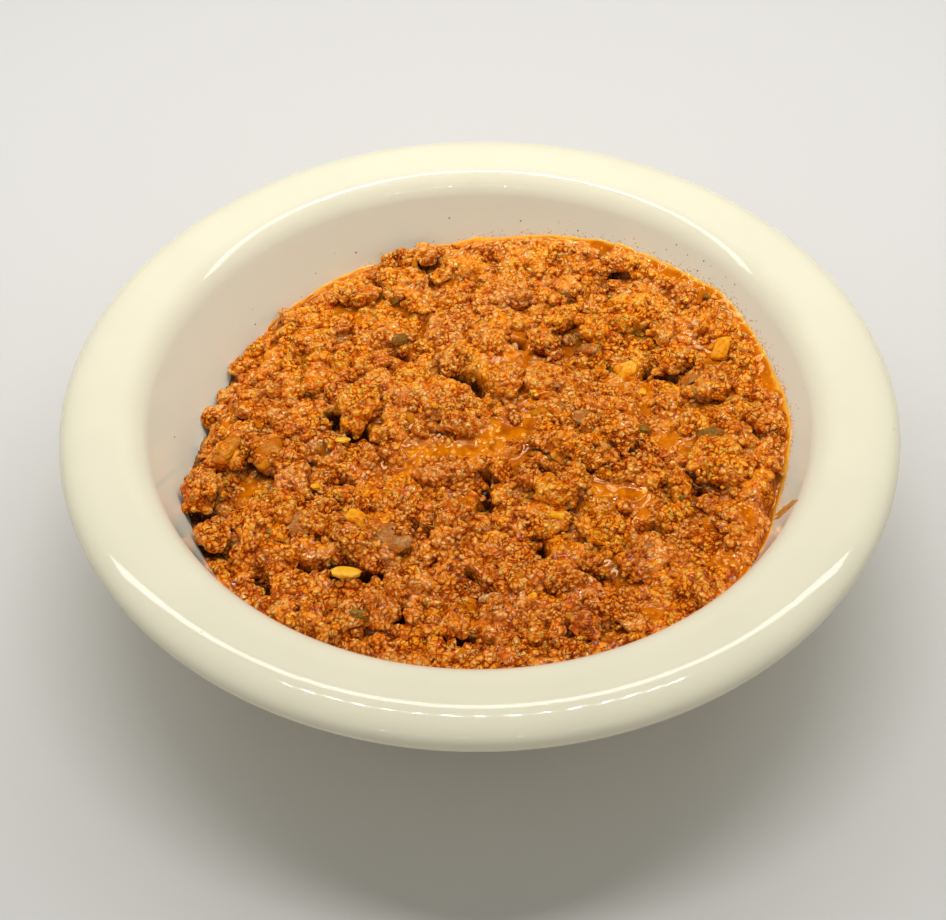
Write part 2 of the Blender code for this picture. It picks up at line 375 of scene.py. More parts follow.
def heap_level(x, y, heap, bowl):
    """Height of the meat's mean surface, with its mounds and hollows and its shoulder at the wall."""
    turn = np.arctan2(y, x)
    line = sauce_line(turn, heap)
    inward = wall_radius(line, bowl) - np.hypot(x, y) - ring_width(turn)
    level = RIM_HEIGHT - heap.heap_depth / MM + heap.heap_lean / MM * leaning(x, y, heap)
    level = level + soft_noise(level_points(x, y), 13.0, 70)
    level = level + bumps(x, y, MOUNDS) - bumps(x, y, POOLS) - crack_depth(x, y)
    shoulder = heap.shoulder / MM * (1 + 1.2 * bell(turn, 165, 45))
    drop = 0.6
    return line - drop + (level - line + drop) * smooth((inward + 0.5) / shoulder)


def sauce_level(x, y, heap, bowl):
    """Height of the sauce between the lumps, which climbs a little where it meets the wall."""
    turn = np.arctan2(y, x)
    line = sauce_line(turn, heap)
    inward = wall_radius(line, bowl) - np.hypot(x, y)
    level = RIM_HEIGHT - heap.sauce_depth / MM + heap.sauce_lean / MM * leaning(x, y, heap)
    wide = [(a, b, POOL_REACH * reach, rise) for a, b, reach, rise in POOLS]
    level = level + np.minimum(1.0, bumps(x, y, wide)) - 0.95 * crack_depth(x, y)
    edge = line - 0.9 - 2.0 * (1 - smooth(ring_width(turn) / 0.4))
    level = edge + (level - edge) * smooth((inward - 0.5 * ring_width(turn)) / (heap.sauce_shoulder / MM))
    return level + 0.9 * smooth(ring_width(turn) / 0.4) * np.exp(-np.clip(inward, 0, None) / 0.8)


def keep_in_bowl(points, bowl, clearance):
    """The points, drawn in where they would pass the bowl's inner face."""
    reach = np.hypot(points[:, 0], points[:, 1])
    limit = wall_radius(points[:, 2], bowl) - clearance
    share = np.where(reach > limit, limit / np.maximum(reach, 1e-6), 1.0)
    return points * np.stack([share, share, np.ones_like(share)], axis=-1)


# Rises of the meat's clusters and kernels over its surface, the radius of a lump that has them in full,
# and how far a lump's shade is its own rather than its grains'.
CLUSTER_RISE = 1.2
KERNEL_RISE = 0.6
FULL_RELIEF_RADIUS = 4.0
OWN_TINT = 0.85

# Room left between the wall and what lies on it.
CLEAR_OF_WALL = 0.1

# Draws of a place for each lump before a crowded surface is left as it is.
TRIES_PER_LUMP = 60


def meat_relief(points, salt):
    """Height of the crumbled meat's clusters and grains in millimetres, how high each point stands in them,
    for the painted light on their tops, and a random value from them that helps set how browned it looks.
    """
    moved = warped(points, 2.6, 1.1, salt + 40)
    clusters, cluster_own = grains(moved, 3.4, salt)
    moved = warped(points, 1.1, 0.55, salt + 50)
    kernels, kernel_own = grains(moved, 1.35, salt + 10, (0.45, 0.92))
    kernels = np.clip((kernels - 0.3) / 0.6, 0, 1)
    relief = CLUSTER_RISE * clusters + KERNEL_RISE * kernels
    # Painted light: the higher a point stands in its kernel and cluster, the lighter the meat's material
    # makes it.
    crown = np.clip(0.55 * kernels + 0.45 * np.clip((clusters - 0.35) / 0.5, 0, 1), 0, 1)
    shade = 0.55 * cluster_own + 0.45 * kernel_own
    return relief, crown, shade


# ---------------------------------------------------------------- meshes and materials


def linear(code):
    """Linear red, green and blue of an sRGB hex colour."""
    parts = [int(code[i:i + 2], 16) / 255 for i in (1, 3, 5)]
    return tuple(p / 12.92 if p <= 0.04045 else ((p + 0.055) / 1.055) ** 2.4 for p in parts)


def set_inputs(node, inputs):
    """Sets inputs to values, or links them from sockets. A node stands for its first output in use."""
    for name, value in inputs.items():
        socket = node.inputs[name]
        if isinstance(value, bpy.types.Node):
            value = next(output for output in value.outputs if output.enabled)
        if isinstance(value, bpy.types.NodeSocket):
            node.id_data.links.new(value, socket)
        elif socket.type == "RGBA":
            socket.default_value = (*value, 1)[:4]
        else:
            socket.default_value = value


def add_node(tree, kind, inputs=None, stops=(), **settings):
    """A shader node with its settings and inputs, and the stops of its colour ramp."""
    node = tree.nodes.new("ShaderNode" + kind)
    for name, value in settings.items():
        setattr(node, name, value)
    set_inputs(node, inputs or {})
    for number, (place, colour) in enumerate(stops):
        elements = node.color_ramp.elements
        stop = elements[number] if number < 2 else elements.new(place)
        stop.position = place
        stop.color = (*colour, 1)
    return node


def span(value, from_low, from_high, to_low, to_high):
    """The inputs that carry a value over from one range to another."""
    return {
        "Value": value, "From Min": from_low, "From Max": from_high, "To Min": to_low, "To Max": to_high,
    }


def pattern(place, millimetres, **more):
    """The inputs that lay a pattern of this size over the surface."""
    return {"Vector": place, "Scale": 1 / (millimetres * MM), **more}


def thin_lines(add, noise_inputs, width, strength):
    """Winding lines, which follow the places where a noise passes its middle value."""
    noise = add("TexNoise", noise_inputs)
    off = add("Math", {0: noise, 1: 0.5}, operation="SUBTRACT")
    away = add("Math", {0: off}, operation="ABSOLUTE")
    return add("MapRange", span(away, 0, width, strength, 0), interpolation_type="SMOOTHSTEP")


def laid_over(add, body, *layers):
    """The body's colour under layers, each given as its share and its colour."""
    for share, colour in layers:
        body = add("Mix", {"Factor": share, "A": body, "B": colour}, data_type="RGBA")
    return body


def read_attributes(add, *names):
    """What add_attribute wrote at each point, under these names."""
    return [add("Attribute", attribute_name=name).outputs["Fac"] for name in names]


def new_material(name, shader_inputs):
    """A material with one Principled shader, and the function that adds a node to its tree."""
    material = bpy.data.materials.new(name)
    material.use_nodes = True
    shader = material.node_tree.nodes["Principled BSDF"]
    set_inputs(shader, shader_inputs)
    return material, shader, functools.partial(add_node, material.node_tree)


def add_attribute(mesh, title, values):
    """A value at each point, which materials read by this title."""
    layer = mesh.attributes.new(title, "FLOAT", "POINT")
    layer.data.foreach_set("value", values.astype(np.float32))


def points_of(*names):
    """The points of pieces already made, in millimetres."""
    clouds = []
    for name in names:
        mesh = bpy.data.objects[name].data
        points = np.empty(len(mesh.vertices) * 3, np.float32)
        mesh.vertices.foreach_get("co", points)
        clouds.append(points.reshape(-1, 3).astype(float) / MM)
    return np.concatenate(clouds)


def add_mesh(name, points, faces, material, attributes=None):
    """A smooth mesh piece from points in millimetres, riding on the one body."""
    mesh = bpy.data.meshes.new(name)
    mesh.vertices.add(len(points))
    mesh.vertices.foreach_set("co", (points * MM).astype(np.float32).ravel())
    mesh.loops.add(faces.size)
    mesh.loops.foreach_set("vertex_index", faces.astype(np.int32).ravel())
    mesh.polygons.add(len(faces))
    mesh.polygons.foreach_set("loop_start", np.arange(0, faces.size, faces.shape[1], dtype=np.int32))
    mesh.update(calc_edges=True)
    for title, values in (attributes or {}).items():
        add_attribute(mesh, title, values)
    mesh.shade_smooth()
    mesh.materials.append(material)
    piece = bpy.data.objects.new(name, mesh)
    bpy.context.scene.collection.objects.link(piece)
    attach(piece, "root")
    return piece


def glazed_china(colours):
    """Vitrified china under a clear cream glaze: a hard even gloss with faint waves, a few specks, and
    painted light on the inner wall below the rim.
    """
    material, shader, add = new_material("glazed vitrified china", {
        "Roughness": 0.05, "IOR": 1.5, "Specular IOR Level": 0.22,
    })
    place = add("TexCoord").outputs["Object"]
    well, = read_attributes(add, "well")
    cloud = add("TexNoise", pattern(place, 14, Detail=3))
    thicker = [0.97 * part for part in colours.china]
    body = add("ValToRGB", {"Fac": cloud}, stops=((0.3, thicker), (0.7, colours.china)))
    specks = add("TexVoronoi", pattern(place, 13))
    dot = add("MapRange", span(specks, 0.012, 0.022, 0.3, 0))
    waves = add("TexNoise", pattern(place, 9, Detail=1))
    # Painted light: a lighter, greener colour is laid over the inner wall below the rim, which lifts its
    # shade and cancels the orange light that the food throws on it.
    set_inputs(shader, {
        "Base Color": laid_over(add, body, (well, colours.china_well_painted_light), (dot, colours.speck)),
        "Normal": add("Bump", {"Height": waves, "Strength": 0.25, "Distance": 0.12 * MM}),
    })
    return material


def cooked_mince(colours):
    """Ground meat simmered in chile sauce: rounded curds with painted light on their tops and painted shade
    in their seams, browned patches, painted shade in deep gaps and a wet shine.
    """
    material, shader, add = new_material("simmered ground meat", {
        "IOR": 1.42, "Specular IOR Level": 0.12, "Specular Tint": (1.0, 0.5, 0.1), "Coat Roughness": 0.05,
    })
    place = add("TexCoord").outputs["Object"]
    crown, shade, depth = read_attributes(add, "crown", "shade", "depth")
    # The curds are about 1.3 mm across. Noise of like size bends them, so that they don't look like cells.
    stir = add("TexNoise", pattern(place, 1.4, Detail=1)).outputs["Color"]
    moved = add("VectorMath", {0: stir, 1: [1.5 * MM] * 3, 2: place}, operation="MULTIPLY_ADD")
    cells = pattern(moved, 1.3)
    curds = add("TexVoronoi", cells)
    seams = add("TexVoronoi", cells, feature="DISTANCE_TO_EDGE")
    own = add("SeparateColor", {"Color": curds.outputs["Color"]})
    bead = add("MapRange", span(curds, 0.08, 0.5, 1, 0), interpolation_type="SMOOTHSTEP")
    seam = add("MapRange", span(seams, 0, 0.17, 1, 0))
    curl = thin_lines(add, pattern(moved, 1.5, Detail=0), 0.1, 1)
    # Sauce coats the meat unevenly. Where it is bare, the painted light on the curds and the painted shade
    # in their seams show more, and it shines less.
    coats = add("TexNoise", pattern(place, 6, Detail=3))
    bare = add("MapRange", span(coats, 0.38, 0.62, 0.34, 0.68))
    # Painted light and shade, stronger where the meat is bare: light on each curd's top by a random amount
    # for each curd, shade along the seams between curds, and light along thin winding lines.
    own_tone = add("Math", {0: own, 1: 1.1, 2: 0.3}, operation="MULTIPLY_ADD")
    pale = add("Math", {0: own_tone, 1: bare}, operation="MULTIPLY")
    painted_seam_shade = add("Math", {0: seam, 1: bare}, operation="MULTIPLY")
    painted_thread_light = add("Math", {0: curl, 1: bare}, operation="MULTIPLY")
    # Painted light: the meat is made lighter towards the far side, along y, and darker towards the near
    # side.
    across = add("SeparateXYZ", {"Vector": place}).outputs["Y"]
    far_side_painted_light = add("MapRange", span(across, -50 * MM, 50 * MM, -0.1, 0.02))
    mottle = add("TexNoise", pattern(place, 2.6, Detail=2))
    tone_and_painted_light = add("Math", {0: mottle, 1: 0.7, 2: far_side_painted_light}, operation="MULTIPLY_ADD")
    # Painted light and shade over the random mottle: the grains' high points, the curds' tops and the
    # winding lines are made lighter, the seams darker.
    for part, weight in ((crown, 0.34), (bead, pale), (painted_seam_shade, -0.7), (painted_thread_light, 0.3)):
        tone_and_painted_light = add("Math", {0: part, 1: weight, 2: tone_and_painted_light}, operation="MULTIPLY_ADD")
    wet, dry = [
        add("ValToRGB", {"Fac": tone_and_painted_light}, stops=(
            (0.08, colours.meat_gap), (0.82, high), (0.28, low), (0.5, middle),
        ))
        for low, middle, high in (
            (colours.meat_low, colours.meat_mid, colours.meat_high),
            (colours.brown_low, colours.brown_mid, colours.brown_high),
        )
    ]
    browning = add("TexNoise", pattern(place, 18, Detail=3, Roughness=0.8))
    mixed = add("Math", {0: shade, 1: 0.35, 2: browning}, operation="MULTIPLY_ADD")
    browned = add("MapRange", span(mixed, 0.52, 0.82, 0, 1))
    patches = add("TexNoise", pattern(moved, 3.4, Detail=1))
    red = add("MapRange", span(patches, 0.56, 0.74, 0, 0.4))
    full = add("Math", {0: curl, 1: 0.2, 2: bead}, operation="MULTIPLY_ADD")
    drained = add("Math", {0: bare, 1: 0.45}, operation="ADD")
    rise = add("Math", {0: full, 1: drained}, operation="MULTIPLY")
    # Painted shade: the colour goes to the gap colour where the depth attribute marks a deep gap between
    # lumps.
    set_inputs(shader, {
        "Base Color": laid_over(add, wet, (browned, dry), (red, colours.tomato), (depth, colours.gap)),
        "Roughness": add("MapRange", span(coats, 0, 1, 0.28, 0.6)),
        "Coat Weight": add("MapRange", span(coats, 0.42, 0.56, 0.5, 0.1)),
        "Normal": add("Bump", {"Height": rise, "Strength": 1.0, "Distance": 0.5 * MM}),
    })
    return material


def chile_sauce(colours):
    """Thick tomato and chile sauce with fat in it: a smooth wet skin with crumbs, orange where it thins, and
    painted shade in deep gaps.
    """
    material, shader, add = new_material("chile sauce", {
        "Roughness": 0.06, "IOR": 1.45, "Specular Tint": (1.0, 0.5, 0.12),
        "Coat Roughness": 0.03, "Coat IOR": 1.6,
    })
    place = add("TexCoord").outputs["Object"]
    thin, depth, grain = read_attributes(add, "thin", "depth", "grain")
    swirl = add("TexNoise", pattern(place, 2.6, Detail=5, Distortion=0.8))
    body = add("ValToRGB", {"Fac": swirl}, stops=((0.36, colours.sauce_deep), (0.62, colours.sauce)))
    # Crumbs of meat up to 1.3 mm across float in the sauce, each of its own size.
    crumbs = add("TexVoronoi", pattern(place, 1.3))
    crumb_size = add("SeparateColor", {"Color": crumbs.outputs["Color"]})
    reach = add("Math", {0: crumb_size, 1: 0.62, 2: -0.1}, operation="MULTIPLY_ADD")
    inside = add("Math", {0: reach, 1: crumbs}, operation="SUBTRACT")
    crumb = add("MapRange", span(inside, 0, 0.14, 0, 0.75), interpolation_type="SMOOTHSTEP")
    streaks = add("Math", {0: swirl, 1: 0.5, 2: thin}, operation="MULTIPLY_ADD")
    edge = add("ValToRGB", {"Fac": streaks}, stops=(
        (0.4, colours.oil_deep), (1.0, colours.oil_pale), (0.78, colours.oil),
    ))
    oily = add("MapRange", span(thin, 0.12, 0.4, 0, 1))
    ripple = add("TexNoise", pattern(place, 1.6, Detail=2))
    skin = add("Math", {0: ripple, 1: 0.1, 2: crumb}, operation="MULTIPLY_ADD")
    # Painted shade: the colour goes to the gap colour where the depth attribute marks a deep gap between
    # lumps.
    set_inputs(shader, {
        "Base Color": laid_over(
            add, body, (crumb, colours.meat_high), (oily, edge),
            (grain, colours.meat_mid), (depth, colours.gap),
        ),
        "Coat Weight": add("MapRange", span(thin, 0.01, 0.1, 0.24, 0.08)),
        "Normal": add("Bump", {"Height": skin, "Strength": 0.35, "Distance": 0.2 * MM}),
    })
    return material


def soft_vegetable(name, low, high, sauce, folds):
    """Vegetable simmered soft: clear flesh stained by the sauce, with pale folds and a wet skin."""
    material, shader, add = new_material(name, {
        "Roughness": 0.22, "Specular IOR Level": 0.22, "Specular Tint": (1.0, 0.7, 0.4),
        "Subsurface Weight": 0.1, "Subsurface Radius": (1.0, 0.5, 0.2), "Subsurface Scale": 0.8 * MM,
    })
    place = add("TexCoord").outputs["Object"]
    stain = add("TexNoise", pattern(place, 1.6, Detail=3))
    body = add("ValToRGB", {"Fac": stain}, stops=((0.34, sauce), (0.8, high), (0.46, low)))
    wrinkles = pattern(place, 1.3, Detail=1, Distortion=1.0)
    fold = thin_lines(add, wrinkles, 0.05, folds)
    rise = add("Math", {0: stain, 1: fold}, operation="ADD")
    set_inputs(shader, {
        "Base Color": laid_over(add, body, (fold, high)),
        "Normal": add("Bump", {"Height": rise, "Strength": 0.8, "Distance": 0.3 * MM}),
    })
    return material


def oil_film(colours):
    """Chile oil drawn thin over the glaze: a warm tint with a sharp wet shine."""
    material, _, _ = new_material("chile oil film", {
        "Base Color": colours.smear, "Roughness": 0.12, "Coat Weight": 0.5, "Coat Roughness": 0.04,
    })
    return material


def dried_sauce(colours):
    """Sauce dried on the glaze: dull brown specks with no shine."""
    material, _, _ = new_material("dried sauce specks", {"Base Color": colours.fleck, "Roughness": 0.6})
    return material


def studio_floor(colours):
    """Matte pale board: it takes soft shadows and gives no glare."""
    material, _, _ = new_material("matte studio floor", {
        "Base Color": colours.floor, "Roughness": 0.9, "Specular IOR Level": 0.2,
    })
    return material


# ---------------------------------------------------------------- settings


def length(name, millimetres, words):
    return bpy.props.FloatProperty(
        name=name, description=words, default=millimetres * MM, unit="LENGTH", precision=4
    )


def angle(name, degrees, words):
    return bpy.props.FloatProperty(
        name=name, description=words, default=math.radians(degrees), unit="ROTATION"
    )


def whole(name, number, words, least=0):
    return bpy.props.IntProperty(name=name, description=words, default=number, min=least)


def colour(name, code, words):
    return bpy.props.FloatVectorProperty(
        name=name, description=words, default=linear(code), subtype="COLOR", size=3, min=0, max=1
    )


class ChiliBowlSettings(bpy.types.PropertyGroup):
    """Sizes of the turned bowl; its rim and height come from the frame."""

    roll_reach: length("Roll reach", 6.8, "Half width of the rolled edge")
    roll_half_height: length("Roll half height", 3.6, "Half height of the rolled edge")
    rim_flat: length("Rim flat", 3.9, "Width of the flat ring on the rim")
    lip_radius: length("Lip radius", 7.0, "Rounding from the rim into the wall")
    wall_tilt: angle("Wall tilt", 69.6, "The wall's rise from the horizontal")
    wall_thickness: length("Wall thickness", 5.5, "Thickness of the china")
    well_floor: length("Well floor", 9.5, "Height of the well's floor")
    well_radius: length("Well radius", 26.0, "Rounding from the wall into the floor")
    cove_radius: length("Cove radius", 4.0, "Hollow under the rolled edge")
    foot_radius: length("Foot radius", 38.4, "Radius of the foot ring")
    foot_width: length("Foot width", 4.2, "Width of the foot ring")
    foot_edge: length("Foot edge", 0.8, "Rounding of the foot ring's edges")
    foot_recess: length("Foot recess", 3.6, "Height of the base inside the foot ring")
    turns: whole("Turns", 192, "Facets round the axis", least=24)


class ChiliHeapSettings(bpy.types.PropertyGroup):
    """Levels and sizes of the meat and the sauce."""

    edge_depth: length("Edge depth", 15.5, "Mean depth of the sauce's edge under the rim")
    edge_lean: length("Edge lean", 4.5, "How much higher the sauce stands on one side")
    lean_towards: angle("Lean towards", 15, "Direction of the higher side")
    spread: length("Spread", 60, "Radius of the filling's surface")
    heap_depth: length("Heap depth", 14.0, "Depth of the meat's mean surface under the rim")
    heap_lean: length("Heap lean", 3.0, "How much higher the meat stands on one side")
    shoulder: length("Shoulder", 4.5, "Width over which the meat comes down to the wall")
    sauce_depth: length("Sauce depth", 16.6, "Depth of the sauce's surface under the rim")
    sauce_lean: length("Sauce lean", 3.4, "How much higher the sauce stands on one side")
    sauce_shoulder: length("Sauce shoulder", 4.0, "Width over which the sauce meets its edge")
    bed_rings: whole("Bed rings", 128, "Rings of the meat bed's mesh", least=8)
    sauce_rings: whole("Sauce rings", 90, "Rings of the sauce's mesh", least=8)
    seed: whole("Seed", 7, "Start of the random draws")


class ChiliColours(bpy.types.PropertyGroup):
    """Colours of the glaze, meat, sauce and vegetables."""

    china: colour("China", "#EEE7CC", "Cream glaze")
    # Painted light: a lighter, greener colour for the inner wall below the rim, which lifts its shade and
    # cancels the orange light that the food throws on it.
    china_well_painted_light: colour("China well", "#F6FBE8", "Glaze where it gathers, below the rim")
    speck: colour("Speck", "#8C7A5A", "Iron specks in the glaze")
    # The meat's ramps run from meat_gap up to meat_high or brown_high: the dark end is painted shade in the
    # seams between curds, partly the sauce there, and the light end is painted light on the grains' tops.
    meat_gap: colour("Meat gap", "#7C2800", "Sauce in the cracks between grains")
    meat_low: colour("Meat low", "#D06000", "Sauce-wet meat between grains")
    meat_mid: colour("Meat middle", "#FA960C", "Sauce-wet meat")
    meat_high: colour("Meat high", "#FFC250", "Tops of the grains")
    brown_low: colour("Browned low", "#C05802", "Browned meat between grains")
    brown_mid: colour("Browned middle", "#EE8E26", "Browned meat")
    brown_high: colour("Browned high", "#FFBC6E", "Tops of browned grains")
    tomato: colour("Tomato", "#DE5E1A", "Scraps of tomato flesh in the meat")
    # Painted shade: the colour laid over the meat and sauce where they lie deep in a gap between lumps.
    gap: colour("Gap", "#300D02", "Deep gaps between lumps")
    sauce: colour("Sauce", "#E07A00", "Chile sauce")
    sauce_deep: colour("Sauce deep", "#B65400", "Chile sauce where it is thick")
    oil_deep: colour("Oil deep", "#BE5402", "Red oil beside the meat")
    oil: colour("Oil", "#DE7800", "Red oil at the edge")
    oil_pale: colour("Oil pale", "#FAB63C", "Red oil where it thins away on the glaze")
    onion_low: colour("Onion low", "#AA6018", "Onion in the sauce")
    onion_high: colour("Onion high", "#D6A264", "Onion where it shows pale")
    clear_low: colour("Clear low", "#BC6600", "Onion cooked clear, deep in colour")
    clear_high: colour("Clear high", "#E49418", "Onion cooked clear, where it is thin")
    pepper_low: colour("Pepper low", "#F6980A", "Chopped pepper")
    pepper_high: colour("Pepper high", "#FFCC3A", "Chopped pepper where it shows bright")
    olive_low: colour("Olive low", "#7A5010", "Green pepper cooked dull")
    olive_high: colour("Olive high", "#A88438", "Green pepper where it shows pale")
    pale_low: colour("Pale low", "#E0A060", "Pale bits of onion and fat")
    pale_high: colour("Pale high", "#FFE0A8", "Pale bits where they show bright")
    seed_low: colour("Seed low", "#F6AC1E", "Seeds")
    seed_high: colour("Seed high", "#FFDA58", "Seeds where they show pale")
    smear: colour("Smear", "#EDAE50", "Oil drawn out over the glaze")
    fleck: colour("Fleck", "#7A5A34", "Specks of sauce dried on the glaze")
    floor: colour("Floor", "#D9D7D2", "Plain pale floor")


class ChiliStageSettings(bpy.types.PropertyGroup):
    """Camera and lights."""

    distance: length("Distance", 371.25, "Camera to the middle of the rim")
    elevation: angle("Elevation", 44.83, "Camera's height over the horizon")
    tip: angle("Tip", 2.15, "How far the camera looks below the middle of the rim")
    turn: angle("Turn", -0.196, "How far the camera looks to the side")
    roll: angle("Roll", -0.494, "The camera's roll")
    lens: bpy.props.FloatProperty(name="Lens", description="Focal length in millimetres", default=71.71)
    ceiling: length("Ceiling", 1500, "Height of the lamps over the floor")


# ---------------------------------------------------------------- operators


# How far the bowl's underside, the foot's neck and its inner side stand off the foot ring.
FOOT_FLARE = 1.2
FOOT_NECK = 0.3
FOOT_NECK_HEIGHT = 3.2
FOOT_DRAFT = 0.6


class CHILI_OT_bowl(bpy.types.Operator):
    """The turned bowl of glazed china"""

    bl_idname = "chili.bowl"
    bl_label = "Bowl"

    def execute(self, context):
        bowl = context.scene.chili_bowl
        tilt = math.degrees(bowl.wall_tilt)
        cos, sin = math.cos(bowl.wall_tilt), math.sin(bowl.wall_tilt)
        roll = (bowl.roll_reach / MM, bowl.roll_half_height / MM)
        lip = bowl.lip_radius / MM
        well = bowl.well_radius / MM
        thick = bowl.wall_thickness / MM
        cove = bowl.cove_radius / MM
        roll_middle = RIM_RADIUS - roll[0]
        well_height = bowl.well_floor / MM + well
        touch = well_height - well * cos
        well_centre = (float(wall_radius(touch, bowl)) - well * sin, well_height)
        profile = [(0.0, well_height - well), (well_centre[0] * 0.5, well_height - well)]
        profile += sweep(well_centre, (well, well), -90, tilt - 90, 24)
        profile += sweep((roll_middle - bowl.rim_flat / MM, RIM_HEIGHT - lip), (lip, lip), 90 + tilt, 90, 16)
        inside_steps = len(profile)
        profile += sweep((roll_middle, RIM_HEIGHT - roll[1]), roll, 90, -90, 28)
        cove_height = RIM_HEIGHT - 2 * roll[1] - cove
        outer = float(wall_radius(cove_height + thick * cos, bowl) + thick * sin)
        profile += sweep((outer + cove / sin, cove_height), (cove, cove), 90, 90 + tilt, 8)
        foot = bowl.foot_radius / MM
        edge = bowl.foot_edge / MM
        end = -math.degrees(math.acos((foot + FOOT_FLARE - well_centre[0]) / (well + thick)))
        profile += sweep(well_centre, (well + thick, well + thick), tilt - 90, end, 16)
        profile.append((foot + FOOT_NECK, FOOT_NECK_HEIGHT))
        profile += sweep((foot - edge, edge), (edge, edge), 0, -90, 5)
        inner = foot - bowl.foot_width / MM
        profile += sweep((inner + edge, edge), (edge, edge), -90, -180, 5)
        profile.append((inner - FOOT_DRAFT, bowl.foot_recess / MM))
        profile.append((0.0, bowl.foot_recess / MM))
        section = np.array(profile)
        turns = bowl.turns
        angles = np.arange(turns) * math.tau / turns
        ring = section[1:-1]
        around = np.stack([
            np.outer(np.cos(angles), ring[:, 0]),
            np.outer(np.sin(angles), ring[:, 0]),
            np.broadcast_to(ring[:, 1], (turns, len(ring))),
        ], axis=-1).reshape(-1, 3)
        ends = np.array([[0, 0, section[0, 1]], [0, 0, section[-1, 1]]])
        count = len(ring)
        here = (np.arange(turns) * count)[:, None] + np.arange(count - 1)
        following = (here + count) % (turns * count)
        faces = np.concatenate([
            np.stack([here, following, here + 1], axis=-1).reshape(-1, 3),
            np.stack([following, following + 1, here + 1], axis=-1).reshape(-1, 3),
        ])
        first = np.arange(turns) * count
        top = np.full(turns, turns * count)
        faces = np.concatenate([
            faces,
            np.stack([top, np.roll(first, -1), first], axis=-1),
            np.stack([top + 1, first + count - 1, np.roll(first, -1) + count - 1], axis=-1),
        ])
        inside = np.tile(np.arange(count) < inside_steps - 1, turns)
        # Painted light: the share of the lighter, greener wall colour, none near the rim's top and full from
        # 6 mm below it, on the inner face only.
        painted_well_light = smooth((RIM_HEIGHT - 1 - around[:, 2]) / 5) * inside
        piece = add_mesh(
            "china_bowl", np.concatenate([around, ends]), faces[:, ::-1],
            glazed_china(context.scene.chili_colours), {"well": np.append(painted_well_light, [1, 0])},
        )
        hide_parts("bowl")
        return {"FINISHED"}


def over_crack(x, y, radius):
    """Whether a lump of this radius would reach over a crack."""
    return any(path_distance(x, y, path) < 0.45 * width + 0.5 * radius for path, width, _ in CRACKS)


def lump_places(rng, count, radii, spacing, larger, heap, bowl):
    """Places (x, y, radius) for lumps of like size, clear of each other, of larger ones, pools and gaps."""
    places = []
    hollows = [(x, y, 0.62 * reach) for x, y, reach, _ in POOLS]
    for _ in range(count * TRIES_PER_LUMP):
        if len(places) >= count:
            break
        radius = rng.uniform(*radii)
        reach = heap.spread / MM * 1.04 * math.sqrt(rng.random())
        turn = rng.uniform(0, math.tau)
        x = reach * math.cos(turn)
        y = reach * math.sin(turn)
        line = sauce_line(turn, heap)
        if reach > float(wall_radius(line, bowl)) - ring_width(turn) - 0.7 * radius:
            continue
        if any((x - a) ** 2 + (y - b) ** 2 < (r + 0.5 * radius) ** 2 for a, b, r in hollows):
            continue
        if any((x - a) ** 2 + (y - b) ** 2 < (spacing * (radius + r)) ** 2 for a, b, r in places):
            continue
        if any((x - a) ** 2 + (y - b) ** 2 < (0.7 * (radius + r)) ** 2 for a, b, r in larger):
            continue
        if radius > 1.7 and over_crack(x, y, radius):
            continue
        places.append((x, y, radius))
    return places


def lump_cluster(rng, places, levels, steps, cut, flatness, lumpiness, bowl, salt):
    """Joined lumps of meat centred at these levels: points, triangles and attributes."""
    directions, faces = ball(steps, cut)
    count = len(places)
    owner, ways, triangles = strewn(directions, faces, count)
    x, y, radius = np.array(places).T
    spin = rng.uniform(0, math.tau, count)[owner]
    long = rng.uniform(1.0, 1.3, count)
    wide = rng.uniform(0.75, 1.0, count)
    tall = rng.uniform(*flatness, count)
    seeds = rng.uniform(-500, 500, (count, 3))[owner]
    form = ways + seeds
    swell = 1 + lumpiness * (soft_noise(form, 0.9, salt) + 0.5 * soft_noise(form, 0.42, salt + 1))
    body = ways * (swell * radius[owner])[:, None] * np.stack([long, wide, tall], axis=-1)[owner]
    turned = spun(body, spin)
    relief, crown, shade = meat_relief(turned + seeds, salt + 5)
    scale = np.clip(radius / FULL_RELIEF_RADIUS, 0.3, 1.0)[owner]
    lift = spun(ways, spin) * ((relief - CLUSTER_RISE) * scale)[:, None]
    points = np.stack([x, y, levels], axis=-1)[owner] + turned + lift
    tint = rng.random(count)[owner]
    shade = OWN_TINT * tint + (1 - OWN_TINT) * shade
    return keep_in_bowl(points, bowl, CLEAR_OF_WALL), triangles, {"crown": crown, "shade": shade}


def cells_at(places, cell, half, rounding=np.trunc):
    """The cells of a height map that hold these places."""
    return np.clip(rounding(places / cell).astype(int) + half, 0, 2 * half)


def height_map(cloud, cell):
    """Highest point in each square cell of the bowl, or -1 in an empty one, and the middle cell's number."""
    half = int(RIM_RADIUS / cell)
    column, row = cells_at(cloud[:, :2], cell, half).T
    grid = np.full((2 * half + 1, 2 * half + 1), -1.0)
    np.maximum.at(grid, (column, row), cloud[:, 2])
    return grid, half


def box_blur(grid, reach):
    """Mean over a square of cells this far each way, leaving out empty cells."""
    def running(values):
        for axis in (0, 1):
            zeros = np.zeros_like(np.take(values, [0], axis))
            padded = np.concatenate([zeros, np.cumsum(values, axis)], axis)
            count = values.shape[axis]
            upper = np.clip(np.arange(count) + reach + 1, 0, count)
            lower = np.clip(np.arange(count) - reach, 0, count)
            values = np.take(padded, upper, axis) - np.take(padded, lower, axis)
        return values
    full = (grid > 0).astype(float)
    return running(np.where(grid > 0, grid, 0)) / np.maximum(running(full), 1e-9)


